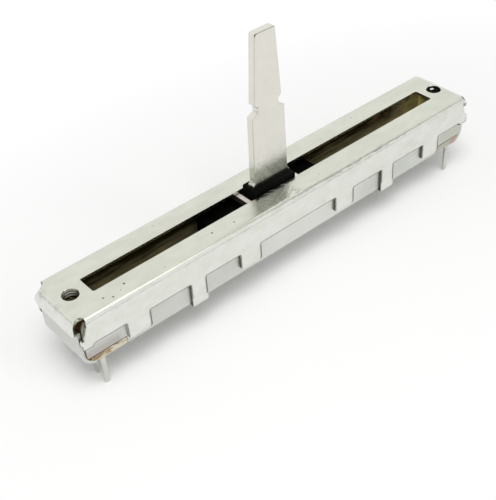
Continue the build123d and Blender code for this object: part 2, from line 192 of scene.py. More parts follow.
def size_of(tree, value):
    """The number without its sign."""
    return combined(tree, "ABSOLUTE", value)


def away_from(tree, value, centre_mm):
    """How far a place lies from a centre, to either side."""
    return size_of(tree, combined(tree, "SUBTRACT", value, centre_mm * MM))


def gap_to(tree, vector, centre):
    """The distance from a point to a fixed centre."""
    gap = add(tree, "ShaderNodeVectorMath", settings={"operation": "DISTANCE"})
    gap.inputs[1].default_value = centre
    tree.links.new(vector, gap.inputs[0])
    return gap.outputs["Value"]


def spread(tree, value, low, high, to_low=0.0, to_high=1.0):
    """The value stretched from one range to another, and clamped."""
    node = add(
        tree, "ShaderNodeMapRange",
        inputs={"From Min": low, "From Max": high, "To Min": to_low, "To Max": to_high},
    )
    tree.links.new(value, node.inputs["Value"])
    return node.outputs["Result"]


def step(tree, value, band_mm, levels=(0.0, 1.0)):
    """From the first level to the second, as a length goes from the band's start to its end."""
    start_mm, end_mm = band_mm
    return spread(tree, value, start_mm * MM, end_mm * MM, *levels)


def zone(tree, point, bands):
    """One inside all the bands, each an axis with the lengths where it is zero and one."""
    axes = dict(zip("xyz", split(tree, point)))
    inside = None
    for axis, start_mm, end_mm in bands:
        value = axes[axis.strip("|")]
        if axis.startswith("|"):
            value = size_of(tree, value)
        reached = step(tree, value, (start_mm, end_mm))
        inside = times(tree, inside, reached) if inside else reached
    return inside


box_blur_mm = 0.03


def within(tree, point, half_x_mm, half_y_mm, low_z_mm, high_z_mm):
    """One inside a box about the middle, and zero outside it."""
    x, y, z = split(tree, point)
    beyond = combined(tree, "SUBTRACT", size_of(tree, x), half_x_mm * MM)
    beyond = larger(tree, beyond, combined(tree, "SUBTRACT", size_of(tree, y), half_y_mm * MM))
    beyond = larger(tree, beyond, combined(tree, "SUBTRACT", z, high_z_mm * MM))
    beyond = larger(tree, beyond, combined(tree, "SUBTRACT", low_z_mm * MM, z))
    return step(tree, beyond, (box_blur_mm, -box_blur_mm))


def noise(tree, vector, pattern):
    """Noise with the pattern's cells."""
    mapping = add(tree, "ShaderNodeMapping", inputs={"Scale": pattern.cells})
    tree.links.new(vector, mapping.inputs["Vector"])
    texture = add(
        tree, "ShaderNodeTexNoise",
        inputs={"Scale": 1.0, "Detail": pattern.detail, "Roughness": pattern.rough},
    )
    tree.links.new(mapping.outputs["Vector"], texture.inputs["Vector"])
    return texture.outputs["Fac"]


def patches(tree, vector, pattern, levels=(0.0, 1.0)):
    """Noise of a pattern, between two levels."""
    return spread(tree, noise(tree, vector, pattern), pattern.low, pattern.high, *levels)


def mixed(tree, factor, first, second):
    """A colour between two, each a colour or a socket."""
    node = add(tree, "ShaderNodeMix", settings={"data_type": "RGBA"})
    tree.links.new(factor, node.inputs["Factor"])
    for name, colour in (("A", first), ("B", second)):
        socket = next(s for s in node.inputs if s.name == name and s.type == "RGBA")
        if isinstance(colour, tuple):
            socket.default_value = colour
        else:
            tree.links.new(colour, socket)
    return next(s for s in node.outputs if s.type == "RGBA")


def tinted(tree, mask, colour, tint):
    """A colour under a tint, where the mask lets it show."""
    return mixed(tree, times(tree, mask, tint.strength), colour, tint.colour)


def bumped(tree, shader, height, relief_mm, edge_mm=None):
    """Relief from a height, over edges that look rounded."""
    bump = add(tree, "ShaderNodeBump", inputs={"Distance": relief_mm * MM, "Strength": 1.0})
    tree.links.new(height, bump.inputs["Height"])
    if edge_mm:
        bevel = add(
            tree, "ShaderNodeBevel", settings={"samples": bevel_samples}, inputs={"Radius": edge_mm * MM}
        )
        tree.links.new(bevel.outputs["Normal"], bump.inputs["Normal"])
    tree.links.new(bump.outputs["Normal"], shader.inputs["Normal"])


def facing(tree, axis):
    """How squarely a face looks along an axis of the piece, from zero to one."""
    normal = add(tree, "ShaderNodeTexCoord").outputs["Normal"]
    return size_of(tree, split(tree, normal)["XYZ".index(axis)])


def rounded_normal(tree, radius_mm):
    """The way a face looks, as if its edges were rounded."""
    bevel = add(
        tree, "ShaderNodeBevel", settings={"samples": line_samples}, inputs={"Radius": radius_mm * MM}
    )
    return bevel.outputs["Normal"]


def edge_line(tree, radius_mm, sharp, flat):
    """One along sharp outer edges, fading over the radius."""
    plain = add(tree, "ShaderNodeNewGeometry").outputs["True Normal"]
    likeness = add(tree, "ShaderNodeVectorMath", settings={"operation": "DOT_PRODUCT"})
    tree.links.new(rounded_normal(tree, radius_mm), likeness.inputs[0])
    tree.links.new(plain, likeness.inputs[1])
    return spread(tree, likeness.outputs["Value"], sharp, flat, 1.0, 0.0)


def crevice_shade(tree, distance_mm, closed, clear):
    """One in corners and gaps, where shade is painted, fading to zero on open faces."""
    shade = add(
        tree, "ShaderNodeAmbientOcclusion",
        settings={"samples": crevice_samples}, inputs={"Distance": distance_mm * MM},
    )
    return spread(tree, shade.outputs["AO"], closed, clear, 1.0, 0.0)


axis_blur_mm = 0.06


def near_axis(tree, point, x_mm, y_mm, radius_mm):
    """One within a radius of the upright axes at plus and minus X and Y."""
    x, y, _ = split(tree, point)
    flat = add(tree, "ShaderNodeCombineXYZ")
    tree.links.new(size_of(tree, x), flat.inputs["X"])
    tree.links.new(size_of(tree, y), flat.inputs["Y"])
    gap = gap_to(tree, flat.outputs["Vector"], (x_mm * MM, y_mm * MM, 0))
    return step(tree, gap, (radius_mm + axis_blur_mm, radius_mm))


# Ragged rims of all spots
spot_rims = Pattern((9000.0, 9000.0, 9000.0), 4.0)
spot_rim_mm = 0.12


def spots(tree, point, places_mm, blur_mm):
    """One at each of the spots given as X, Y, Z and radius, with ragged rims."""
    ragged = times(tree, noise(tree, point, spot_rims), spot_rim_mm * MM)
    total = None
    for x_mm, y_mm, z_mm, radius_mm in places_mm:
        gap = gap_to(tree, point, (x_mm * MM, y_mm * MM, z_mm * MM))
        reach = combined(tree, "ADD", gap, ragged)
        spot = step(tree, reach, (radius_mm + blur_mm, radius_mm))
        total = larger(tree, total, spot) if total else spot
    return total


# Rolled sheet: shares of lines and clouds in its tone, and the tones that set colour and roughness
sheet_clouds = Pattern((260.0, 420.0, 420.0), 5.0)
line_share = 0.45
cloud_share = 0.55
tone_range = (0.38, 0.62)
roughness_range = (0.3, 0.7)


def sheet_metal(name, sheet):
    """Plated sheet: fine rolling lines along X, cloudy plating and rounded cut edges."""
    material, tree, shader = start_material(name, {"Metallic": 1.0})
    point = place(tree)
    lines = noise(tree, point, sheet.brush)
    clouds = noise(tree, point, sheet_clouds)
    tone = combined(tree, "ADD", times(tree, lines, line_share), times(tree, clouds, cloud_share))
    colour = mixed(tree, spread(tree, tone, *tone_range), sheet.light, sheet.dark)
    if sheet.roughness:
        rough = spread(tree, tone, *roughness_range, *sheet.roughness)
        tree.links.new(rough, shader.inputs["Roughness"])
    bumped(tree, shader, lines, sheet.relief_mm, sheet.edge_mm)
    return material, tree, shader, point, colour


# Plain surfaces: their clouds, and the fineness of their grain
plain_clouds = Pattern((300.0, 300.0, 300.0), 3.0, 0.35, 0.65)
grain_detail = 6.0


def plain_dressing(name, surface):
    """Cloudy colour with a fine even grain, for moulded, printed and rolled surfaces."""
    material, tree, shader = start_material(name, {"Metallic": surface.metallic})
    shader.inputs["Specular IOR Level"].default_value = surface.gloss
    point = place(tree)
    grain = (surface.grain, surface.grain, surface.grain)
    fine = noise(tree, point, Pattern(grain, grain_detail))
    clouds = patches(tree, point, plain_clouds)
    tree.links.new(mixed(tree, clouds, surface.light, surface.dark), shader.inputs["Base Color"])
    rough = spread(tree, fine, *roughness_range, *surface.roughness)
    tree.links.new(rough, shader.inputs["Roughness"])
    bumped(tree, shader, fine, surface.relief_mm)
    return material


# Cover: its sheet, and streaks and specks in the plating
cover_brush = Pattern((500.0, 14000.0, 14000.0), 3.0)
cover_sheet = Sheet(
    (0.72, 0.735, 0.645, 1), (0.65, 0.665, 0.575, 1), (0.18, 0.28), cover_brush, 0.0025, 0.09
)
plating_streaks = Pattern((70.0, 260.0, 260.0), 3.0, 0.42, 0.66)
streak_tint = Tint((0.56, 0.57, 0.5, 1), 0.35)
plating_specks = Pattern((2600.0, 2600.0, 2600.0), 2.0, 0.7, 0.76)
speck_tint = Tint((0.3, 0.31, 0.27, 1), 0.35)

# Whiter plating on the walls and end flaps, partly a painted brightening of these faces
wall_zone = (("|y|", half_width_mm - 0.15, half_width_mm - 0.05),)
end_zone = (("|x|", half_length_mm - 1.1, half_length_mm - 0.3),)
wall_blotches = Pattern((420.0, 420.0, 600.0), 6.0, 0.38, 0.62, 0.65)
wall_blotch_levels = (0.4, 0.95)
wall_white_brightened = (0.78, 0.785, 0.755, 1)


def whiter_brightened_walls(tree, point, colour):
    """Walls and end flaps in blotches of whiter plating and painted brightening."""
    outside = larger(tree, zone(tree, point, wall_zone), zone(tree, point, end_zone))
    blotches = patches(tree, point, wall_blotches, wall_blotch_levels)
    return mixed(tree, times(tree, outside, blotches), colour, wall_white_brightened)


# Bends: a dashed line of painted shade below them, rubbing with painted dark reflection on their right half,
# both fainter near the right end
lip_height_mm = -0.9
lip_band = (0.05, 0.2)
lip_levels = (0.45, 0.0)
# Colour of the painted shade line below the bends
lip_painted_shade = (0.3, 0.31, 0.27, 1)
bend_dashes = Pattern((900.0, 2500.0, 2500.0), 3.0, 0.42, 0.6)
bend_dash_levels = (0.3, 1.0)
right_fade_band = (20.0, 30.0)
right_fade_levels = (1.0, 0.35)
bend_zone = (("|y|", half_width_mm - 0.7, half_width_mm - 0.25), ("z", -1.0, -0.55))
# Rubbing streaks, which also paint the dark reflection on the right half of the bends
rub_and_reflection_streaks = Pattern((700.0, 5200.0, 5200.0), 4.0, 0.5, 0.6)
rub_and_reflection_band = (-8.0, 6.0)
rub_and_reflection_tint = Tint((0.27, 0.28, 0.24, 1), 0.6)
bend_roughness = 0.29


def worn_shaded_bends(tree, point, colour, dashes, near_bend):
    """Dashes of painted shade, specks, and dark rubbing with painted reflection along the bends."""
    x, _, z = split(tree, point)
    right_fade = step(tree, x, right_fade_band, right_fade_levels)
    lip_shade = step(tree, away_from(tree, z, lip_height_mm), lip_band, lip_levels)
    # Painted shade: a dashed dark line below the bends
    colour = mixed(tree, times(tree, lip_shade, dashes, right_fade), colour, lip_painted_shade)
    colour = tinted(tree, patches(tree, point, plating_specks), colour, speck_tint)
    # Dark rubbing streaks, partly painted reflection
    streaks = patches(tree, point, rub_and_reflection_streaks)
    rubbed_and_reflected = times(tree, streaks, near_bend, step(tree, x, rub_and_reflection_band), right_fade)
    return tinted(tree, rubbed_and_reflected, colour, rub_and_reflection_tint)


# Pits in the top plate and the front bend, and smudges on the left end's bend, as X, Y, Z and radius
pits_mm = (
    (-32.96, -3.6, 0, 0.24), (-35.76, -4.86, 0, 0.2), (-36.97, -4.06, 0, 0.2), (-34.1, -4.4, 0, 0.12),
    (-16.28, -3.65, 0, 0.2), (-12.08, -3.98, 0, 0.18), (-26.4, -4.9, 0, 0.12), (6.3, -4.3, 0, 0.12),
    (22.4, 4.1, 0, 0.14), (-21.7, 4.4, 0, 0.12),
    (18.0, -5.85, -0.45, 0.13), (21.1, -5.8, -0.3, 0.1),
)
pit_blur_mm = 0.05
pit_tint = Tint((0.1, 0.1, 0.08, 1), 0.85)
smudges_mm = ((-42.8, 3.7, -0.8, 0.4), (-42.9, -0.4, -0.8, 0.3))
smudge_blur_mm = 0.8
smudge_tint = Tint((0.34, 0.35, 0.3, 1), 0.45)


def pitted(tree, point, colour, dashes):
    """Smudges on the left end and small dark pits."""
    pits = spots(tree, point, pits_mm, pit_blur_mm)
    smudged = times(tree, spots(tree, point, smudges_mm, smudge_blur_mm), dashes)
    colour = tinted(tree, smudged, colour, smudge_tint)
    return tinted(tree, pits, colour, pit_tint)


# Cut edges of the windows and tabs, painted dark as shade, as are the outlines round the windows
square_on = (0.85, 0.95)
beyond_notch_zone = (("x", 10.3 - half_length_mm, 10.8 - half_length_mm),)
cut_zone = (
    ("z", -2.4, -2.6), ("|x|", half_length_mm - 1.9, half_length_mm - 2.1),
    ("|y|", half_width_mm - 0.18, half_width_mm - 0.22), *beyond_notch_zone,
)
cut_shade_black = (0.02, 0.02, 0.015, 1)
outline_radius_mm = 0.4
outline_range = (0.9, 0.99)
outline_zone = (("z", -8.1, -7.9), ("z", -4.4, -4.6))
outline_shade_black = (0.07, 0.07, 0.06, 1)
turned_radius_mm = 0.6
turned_range = (0.03, 0.12)
turned_zone = (
    ("z", -8.7, -8.5), ("z", -4.7, -4.9), ("|x|", half_length_mm - 5.1, half_length_mm - 5.3),
)
notch_top_zone = (("z", -6.5, -6.1),)
turned_shade_tint = Tint((0.05, 0.05, 0.04, 1), 0.85)


def shaded_cut_edges(tree, point, colour):
    """Painted shade on the cut faces and outlines of the windows, and a painted shade line where a wall's
    edge turns to the right.
    """
    cut = times(tree, spread(tree, facing(tree, "X"), *square_on), zone(tree, point, cut_zone))
    # Painted shade: the cut faces, the outlines and the turned edges are darkened
    colour = mixed(tree, cut, colour, cut_shade_black)
    outline = edge_line(tree, outline_radius_mm, *outline_range)
    colour = mixed(tree, times(tree, outline, zone(tree, point, outline_zone)), colour, outline_shade_black)
    to_right = split(tree, rounded_normal(tree, turned_radius_mm))[0]
    turned = times(tree, spread(tree, to_right, *turned_range), zone(tree, point, turned_zone))
    reach = larger(tree, zone(tree, point, beyond_notch_zone), zone(tree, point, notch_top_zone))
    return tinted(tree, times(tree, turned, reach), colour, turned_shade_tint)


# Relief holes at the corners, the collars of the tapped holes, and the sides of the end flaps, painted dark
# as shade
relief_axis_mm = (half_length_mm - 0.9, half_width_mm - 0.3, 1.0)
relief_zone = (("z", -1.7, -1.5),)
relief_mottle = Pattern((1800.0, 1800.0, 1200.0), 4.0, 0.42, 0.6)
relief_shade_dark = (0.1, 0.11, 0.08, 1)
relief_pale = (0.6, 0.62, 0.5, 1)
collar_axis_mm = (hole_place_mm, 0.0, 1.3)
collar_shade_black = (0.05, 0.05, 0.04, 1)
flap_facing = (0.8, 0.95)
flap_zone = (
    ("|x|", half_length_mm - 2.1, half_length_mm - 1.8),
    ("|y|", half_width_mm - 0.52, half_width_mm - 0.6), ("z", -1.9, -2.2),
)
flap_shade_black = (0.04, 0.04, 0.03, 1)


def shaded_holes_and_flaps(tree, point, colour):
    """Relief holes in mottled olive with painted shade, and collars and flap sides painted dark as shade."""
    # Painted shade in the relief holes, collars and flap sides
    relief = times(tree, near_axis(tree, point, *relief_axis_mm), zone(tree, point, relief_zone))
    mottle = mixed(tree, patches(tree, point, relief_mottle), relief_shade_dark, relief_pale)
    colour = mixed(tree, relief, colour, mottle)
    colour = mixed(tree, near_axis(tree, point, *collar_axis_mm), colour, collar_shade_black)
    side = times(tree, spread(tree, facing(tree, "Y"), *flap_facing), zone(tree, point, flap_zone))
    return mixed(tree, side, colour, flap_shade_black)


# Scratches on the front of the top plate beside the lever, turned two ways about Z, which also paint the
# lever's dark reflection there
scratch_turns = (0.6, -0.5)
scratch_lines = Pattern((260.0, 2200.0, 260.0), 4.0, 0.52, 0.6)
scuff_centre_mm = lever_middle_mm - 1.73
scuff_band = (4.6, 3.4)
scuff_box_mm = (half_length_mm - 0.3, half_width_mm - 0.5, -0.3, 0.1)
scuff_front_zone = (("y", 0.0, -1.0),)
scuff_reflection_tint = Tint((0.3, 0.33, 0.3, 1), 0.35)
scuff_roughness = 0.5


def scratches(tree, point, turn):
    """Thin long scratches, turned about Z."""
    turned = add(tree, "ShaderNodeMapping", inputs={"Rotation": (0, 0, turn)})
    tree.links.new(point, turned.inputs["Vector"])
    return patches(tree, turned.outputs["Vector"], scratch_lines)


def scuffs_and_reflection(tree, point):
    """One on the scratches in front of the lever, where the lever's dark reflection is painted."""
    lines = larger(tree, *(scratches(tree, point, turn) for turn in scratch_turns))
    beside = step(tree, away_from(tree, split(tree, point)[0], scuff_centre_mm), scuff_band)
    plate = times(tree, within(tree, point, *scuff_box_mm), zone(tree, point, scuff_front_zone))
    return times(tree, lines, beside, plate)


# Inside of the cover, and painted shade in its crevices: their reach, and how closed and how clear a place
# is at their limits
cover_inside_mm = (half_length_mm - 2.5, half_width_mm - 0.45, -10.0, -0.47)
cover_inside_olive = (0.5, 0.47, 0.33, 1)
cover_crevice_shade = (0.35, 0.35, 0.75)
crevice_shade_grey = (0.2, 0.205, 0.17, 1)


def cover_material():
    """Bright plated sheet, whiter on its walls partly by painted brightening, with pits and rubbed bends,
    and painted shade and reflection on its bends, cut edges, holes, crevices and the plate in front of the
    lever.
    """
    material, tree, shader, point, colour = sheet_metal("cover_steel", cover_sheet)
    dashes = patches(tree, point, bend_dashes, bend_dash_levels)
    near_bend = zone(tree, point, bend_zone)
    colour = tinted(tree, patches(tree, point, plating_streaks), colour, streak_tint)
    colour = whiter_brightened_walls(tree, point, colour)
    colour = worn_shaded_bends(tree, point, colour, dashes, near_bend)
    colour = pitted(tree, point, colour, dashes)
    colour = shaded_cut_edges(tree, point, colour)
    colour = shaded_holes_and_flaps(tree, point, colour)
    scuffed_and_reflected = scuffs_and_reflection(tree, point)
    # Scratches and the painted dark reflection of the lever in front of it
    colour = tinted(tree, scuffed_and_reflected, colour, scuff_reflection_tint)
    rough = shader.inputs["Roughness"].links[0].from_socket
    rough = larger(tree, rough, times(tree, scuffed_and_reflected, scuff_roughness))
    rough = larger(tree, rough, times(tree, near_bend, bend_roughness))
    tree.links.new(rough, shader.inputs["Roughness"])
    colour = mixed(tree, within(tree, point, *cover_inside_mm), colour, cover_inside_olive)
    # Painted shade in the crevices
    colour = mixed(tree, crevice_shade(tree, *cover_crevice_shade), colour, crevice_shade_grey)
    tree.links.new(colour, shader.inputs["Base Color"])
    return material


# Tray: its sheet, lighter about the middle window, and tinted in the corner notches
tray_brush = Pattern((700.0, 9000.0, 9000.0), 3.0)
tray_sheet = Sheet((0.65, 0.66, 0.625, 1), (0.59, 0.6, 0.565, 1), None, tray_brush, 0.002, 0.06)
lighter_centre_mm = 3.0
lighter_band = (15.0, 7.0)
lighter_tint = Tint((0.79, 0.8, 0.76, 1), 0.5)
tray_side = ("|y|", tray_half_width_mm - 0.15, tray_half_width_mm - 0.05)
left_notch_zone = (
    ("x", 7.8 - half_length_mm, 6.8 - half_length_mm), ("z", -6.0, -7.2), tray_side,
)
left_notch_tint = Tint((0.44, 0.4, 0.375, 1), 0.7)
right_notch_zone = (("x", half_length_mm - 7.3, half_length_mm - 6.8), tray_side)
right_notch_tint = Tint((0.52, 0.52, 0.44, 1), 0.6)
# Darker olive on the tray where the relief holes show it
relief_corner_zone = (
    ("|x|", half_length_mm - 2.1, half_length_mm - 1.8), ("z", -3.6, -3.3),
    ("|y|", tray_half_width_mm - 1.05, tray_half_width_mm - 0.65),
)
relief_corner_tint = Tint((0.36, 0.37, 0.28, 1), 0.85)

# Inner faces of the tray, up to its ends, which are bent to an outer radius
tray_bend_mm = 2.4
tray_inside_mm = (tray_half_length_mm + 0.25, tray_half_width_mm - 0.35, tray_bottom_mm - 0.2, 0.0)
tray_corner_x_mm = tray_half_length_mm - tray_bend_mm
tray_corner_z_mm = tray_bottom_mm + tray_bend_mm
tray_corner_band = (tray_bend_mm - 0.2, tray_bend_mm - 0.3)


def tray_inside(tree, point):
    """One on the tray's inner faces, and zero on its outer ones."""
    x, _, z = split(tree, point)
    out = larger(tree, combined(tree, "SUBTRACT", size_of(tree, x), tray_corner_x_mm * MM), 0.0)
    down = larger(tree, combined(tree, "SUBTRACT", tray_corner_z_mm * MM, z), 0.0)
    corner = combined(tree, "ADD", times(tree, out, out), times(tree, down, down))
    corner = combined(tree, "SQRT", corner)
    return times(tree, within(tree, point, *tray_inside_mm), step(tree, corner, tray_corner_band))


# Inside the tray: dark above with painted shade, pale below, golden at the right end, with a rusty patch
# beside it
inside_grain = Pattern((160.0, 900.0, 1800.0), 8.0, 0.3, 0.7, 0.75)
inside_rise_mm = 1.2
inside_shade_band = (-4.0, -7.8)
inside_shade_dark = (0.055, 0.042, 0.01, 1)
inside_pale = (1.0, 0.91, 0.55, 1)
gold_band = (33.5, 38.0)
gold_patches = Pattern((500.0, 300.0, 900.0), 4.0, 0.35, 0.6)
gold_levels = (0.6, 1.0)
inside_gold = (1.0, 0.96, 0.62, 1)
rust_patches = Pattern((350.0, 350.0, 900.0), 4.0, 0.52, 0.6)
rust_centre_mm = 30.5
rust_band = (3.5, 1.5)
rust_tint = Tint((0.6, 0.36, 0.2, 1), 0.6)
tray_roughness = (0.42, 0.8)


def tray_inside_shade(tree, point):
    """The colour inside the tray, with painted shade dark above."""
    x, _, z = split(tree, point)
    rise = patches(tree, point, inside_grain, (-inside_rise_mm * MM, inside_rise_mm * MM))
    # Painted shade: near black toward the top of the tray's inner faces
    inside_colour = mixed(tree, step(tree, combined(tree, "ADD", z, rise), inside_shade_band), inside_shade_dark, inside_pale)
    golden = times(tree, step(tree, x, gold_band), patches(tree, point, gold_patches, gold_levels))
    inside_colour = mixed(tree, golden, inside_colour, inside_gold)
    by_rust = step(tree, away_from(tree, x, rust_centre_mm), rust_band)
    return tinted(tree, times(tree, patches(tree, point, rust_patches), by_rust), inside_colour, rust_tint)


def tray_material():
    """Dull plated sheet, tinted in its notches, with painted shade inside, brown toward the right end."""
    material, tree, shader, point, colour = sheet_metal("tray_steel", tray_sheet)
    lighter = step(tree, away_from(tree, split(tree, point)[0], lighter_centre_mm), lighter_band)
    colour = tinted(tree, lighter, colour, lighter_tint)
    colour = tinted(tree, zone(tree, point, left_notch_zone), colour, left_notch_tint)
    colour = tinted(tree, zone(tree, point, right_notch_zone), colour, right_notch_tint)
    colour = tinted(tree, zone(tree, point, relief_corner_zone), colour, relief_corner_tint)
    inside = tray_inside(tree, point)
    colour = mixed(tree, inside, colour, tray_inside_shade(tree, point))
    tree.links.new(colour, shader.inputs["Base Color"])
    tree.links.new(spread(tree, inside, 0.0, 1.0, *tray_roughness), shader.inputs["Roughness"])
    return material


# Lever: its sheet, painted shade and grit above the boss, painted shade on its broken edges, and dark marks
# as X, Y, Z and radius
lever_brush = Pattern((900.0, 900.0, 900.0), 3.0)
lever_sheet = Sheet(
    (0.76, 0.745, 0.68, 1), (0.735, 0.72, 0.655, 1), (0.2, 0.26), lever_brush, 0.0004, 0.05
)
foot_mottle = Pattern((2600.0, 2600.0, 1500.0), 5.0)
foot_mottle_mm = 3.0
foot_band = (2.6, 7.2)
foot_levels = (0.34, 0.0)
foot_shade = (0.2, 0.215, 0.2, 1)
grit_specks = Pattern((3400.0, 3400.0, 3400.0), 3.0, 0.5, 0.6)
grit_band = (2.0, 7.5)
grit_levels = (0.5, 0.03)
grit_colour = (0.16, 0.17, 0.15, 1)
broken_facing = 0.7
broken_range = (0.15, 0.25)
broken_edge_shade_tint = Tint((0.3, 0.31, 0.29, 1), 0.35)
lever_marks_mm = (
    (-3.0, -0.7, 27.5, 0.16), (-2.75, -0.7, 27.6, 0.12), (-2.5, -0.7, 27.63, 0.08),
    (-3.05, -0.7, 27.25, 0.1), (-3.15, -0.6, 15.45, 0.14),
)
mark_blur_mm = 0.08
mark_black = (0.02, 0.02, 0.02, 1)


def lever_material():
    """Nickel-plated blade with painted shade on its broken edges, and grit and painted shade just above the
    boss.
    """
    material, tree, shader, point, colour = sheet_metal("lever_steel", lever_sheet)
    z = split(tree, point)[2]
    height = combined(tree, "ADD", z, times(tree, noise(tree, point, foot_mottle), foot_mottle_mm * MM))
    # Painted shade, mottled, darker toward the foot of the lever
    colour = mixed(tree, step(tree, height, foot_band, foot_levels), colour, foot_shade)
    grit = times(tree, patches(tree, point, grit_specks), step(tree, z, grit_band, grit_levels))
    colour = mixed(tree, grit, colour, grit_colour)
    slant = size_of(tree, combined(tree, "SUBTRACT", facing(tree, "Y"), broken_facing))
    # Painted shade on the broken edges
    colour = tinted(tree, spread(tree, slant, *broken_range, 1.0, 0.0), colour, broken_edge_shade_tint)
    colour = mixed(tree, spots(tree, point, lever_marks_mm, mark_blur_mm), colour, mark_black)
    tree.links.new(colour, shader.inputs["Base Color"])
    return material


# Friction leaf: pale strip with painted shade low on its lips
leaf_inputs = {"Metallic": 0.5, "Roughness": 0.45}
leaf_rolling = Pattern((3000.0, 700.0, 3000.0), 4.0, 0.35, 0.65)
leaf_light = (0.92, 0.87, 0.8, 1)
leaf_dark = (0.74, 0.67, 0.6, 1)
leaf_relief_mm = 0.001
lip_shade_zone = (("z", -0.96, -1.02),)
lip_shade_brown = (0.1, 0.075, 0.05, 1)


def leaf_material():
    """Pale rolled spring strip, with painted shade on the lips turned down at its ends."""
    material, tree, shader = start_material("leaf_bronze", leaf_inputs)
    point = place(tree)
    rolled = noise(tree, point, leaf_rolling)
    tone = spread(tree, rolled, leaf_rolling.low, leaf_rolling.high)
    colour = mixed(tree, tone, leaf_light, leaf_dark)
    colour = mixed(tree, zone(tree, point, lip_shade_zone), colour, lip_shade_brown)
    tree.links.new(colour, shader.inputs["Base Color"])
    bumped(tree, shader, rolled, leaf_relief_mm)
    return material


# Board: layered core, brown coat torn from the left ear and gone from the right one, and stains
board_inputs = {"Metallic": 0.0, "Roughness": 0.6}
board_layers = Pattern((900.0, 900.0, 9000.0), 5.0, 0.35, 0.65)
board_relief_mm = 0.01
core_light = (0.72, 0.68, 0.56, 1)
core_dark = (0.6, 0.55, 0.43, 1)
core_right = (0.46, 0.46, 0.39, 1)
right_band = (0.0, 1.0)
tear_edges = Pattern((500.0, 500.0, 2500.0), 6.0, 0.35, 0.65)
tear_height_mm = 1.8
tear_left_band = (-38.4, -36.2)
tear_right_levels = (0.0, 1.6)
tear_depth_mm = 1.1
coat_band = (-0.25, -0.05)
coat_levels = (0.0, 0.9)
coat_fibres = Pattern((2500.0, 900.0, 6000.0), 6.0, 0.42, 0.58)
coat_light = (0.4, 0.27, 0.12, 1)
coat_dark = (0.17, 0.1, 0.04, 1)
stains_mm = ((40.3, -5.4, -8.5, 0.45), (39.6, -5.4, -8.9, 0.3))
stain_blur_mm = 0.6
stain_tint = Tint((0.5, 0.24, 0.17, 1), 0.6)
board_top_mm = (-0.04, -0.01)
board_top_brown = (0.12, 0.05, 0.018, 1)


def laminate_material():
    """Pale paper laminate with fibres, under a thin brown coat on its upper face."""
    material, tree, shader = start_material("laminate", board_inputs)
    point = place(tree)
    x, _, z = split(tree, point)
    below_top = combined(tree, "SUBTRACT", z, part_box("element_board")[1].z)
    layers = noise(tree, point, board_layers)
    core = mixed(tree, spread(tree, layers, board_layers.low, board_layers.high), core_light, core_dark)
    core = mixed(tree, step(tree, x, right_band), core, core_right)
    torn = patches(tree, point, tear_edges, (0.0, tear_height_mm * MM))
    lost = larger(tree, step(tree, x, tear_left_band), step(tree, x, right_band, tear_right_levels))
    torn = combined(tree, "SUBTRACT", torn, times(tree, lost, tear_depth_mm * MM))
    coat = step(tree, combined(tree, "ADD", below_top, torn), coat_band, coat_levels)
    brown = mixed(tree, patches(tree, point, coat_fibres), coat_light, coat_dark)
    colour = mixed(tree, coat, core, brown)
    colour = tinted(tree, spots(tree, point, stains_mm, stain_blur_mm), colour, stain_tint)
    colour = mixed(tree, step(tree, below_top, board_top_mm), colour, board_top_brown)
    tree.links.new(colour, shader.inputs["Base Color"])
    bumped(tree, shader, layers, board_relief_mm)
    return material


# Plain surfaces, and the starts of the names of the pieces that have them
plain_surfaces = {
    "black_moulding": Plain(
        (0.003, 0.003, 0.0025, 1), (0.006, 0.006, 0.005, 1), 0.0, (0.5, 0.65), 6000.0, 0.006, 0.02,
    ),
    "carbon": Plain((0.018, 0.018, 0.018, 1), (0.03, 0.03, 0.03, 1), 0.0, (0.3, 0.42), 9000.0, 0.002, 0.5),
    "silver_print": Plain((0.6, 0.6, 0.57, 1), (0.5, 0.5, 0.47, 1), 0.8, (0.45, 0.6), 9000.0, 0.003, 0.5),
    "spring_bronze": Plain(
        (0.92, 0.89, 0.82, 1), (0.82, 0.79, 0.73, 1), 0.5, (0.4, 0.55), 7000.0, 0.001, 0.5
    ),
    "tinned_brass": Plain(
        (0.66, 0.66, 0.62, 1), (0.56, 0.56, 0.52, 1), 1.0, (0.3, 0.45), 5000.0, 0.003, 0.5
    ),
}
plain_pieces = {
    "black_moulding": ("carriage",),
    "carbon": ("carbon_track",),
    "silver_print": ("collector", "end_pad"),
    "spring_bronze": ("wiper",),
    "tinned_brass": ("terminal", "rivet"),
}


def dress(starts, material):
    """Gives a new material to the CAD nodes whose names start in one of these ways."""
    for name, node in frame["nodes"].items():
        if name.startswith(starts):
            for material_slot in node.material_slots:
                material_slot.material = material


def dress_all():
    """Materials for all the CAD nodes."""
    dress("cover", cover_material())
    dress("tray", tray_material())
    dress("lever", lever_material())
    dress("element_board", laminate_material())
    dress("friction_leaf", leaf_material())
    for name, surface in plain_surfaces.items():
        dress(plain_pieces[name], plain_dressing(name, surface))


# Threads: grey steel at the left, painted black as shade at the right but for one painted glint as X, Y, Z
# and radius
thread_brush = Pattern((3000.0, 3000.0, 3000.0), 3.0)
thread_sheet = Sheet(
    (0.34, 0.34, 0.29, 1), (0.24, 0.24, 0.2, 1), (0.25, 0.35), thread_brush, 0.002, 0.04
)
thread_right_band = (-1.0, 1.0)
thread_right_shade_black = (0.015, 0.015, 0.012, 1)
glint_spots_mm = ((hole_place_mm + 0.64, 0.86, -0.55, 0.3),)
glint_blur_mm = 0.15
glint_white = (1.0, 1.0, 0.98, 1)
thread_groove_reach = (0.8, 0.2, 0.6)
thread_groove_shade = (0.03, 0.03, 0.025, 1)


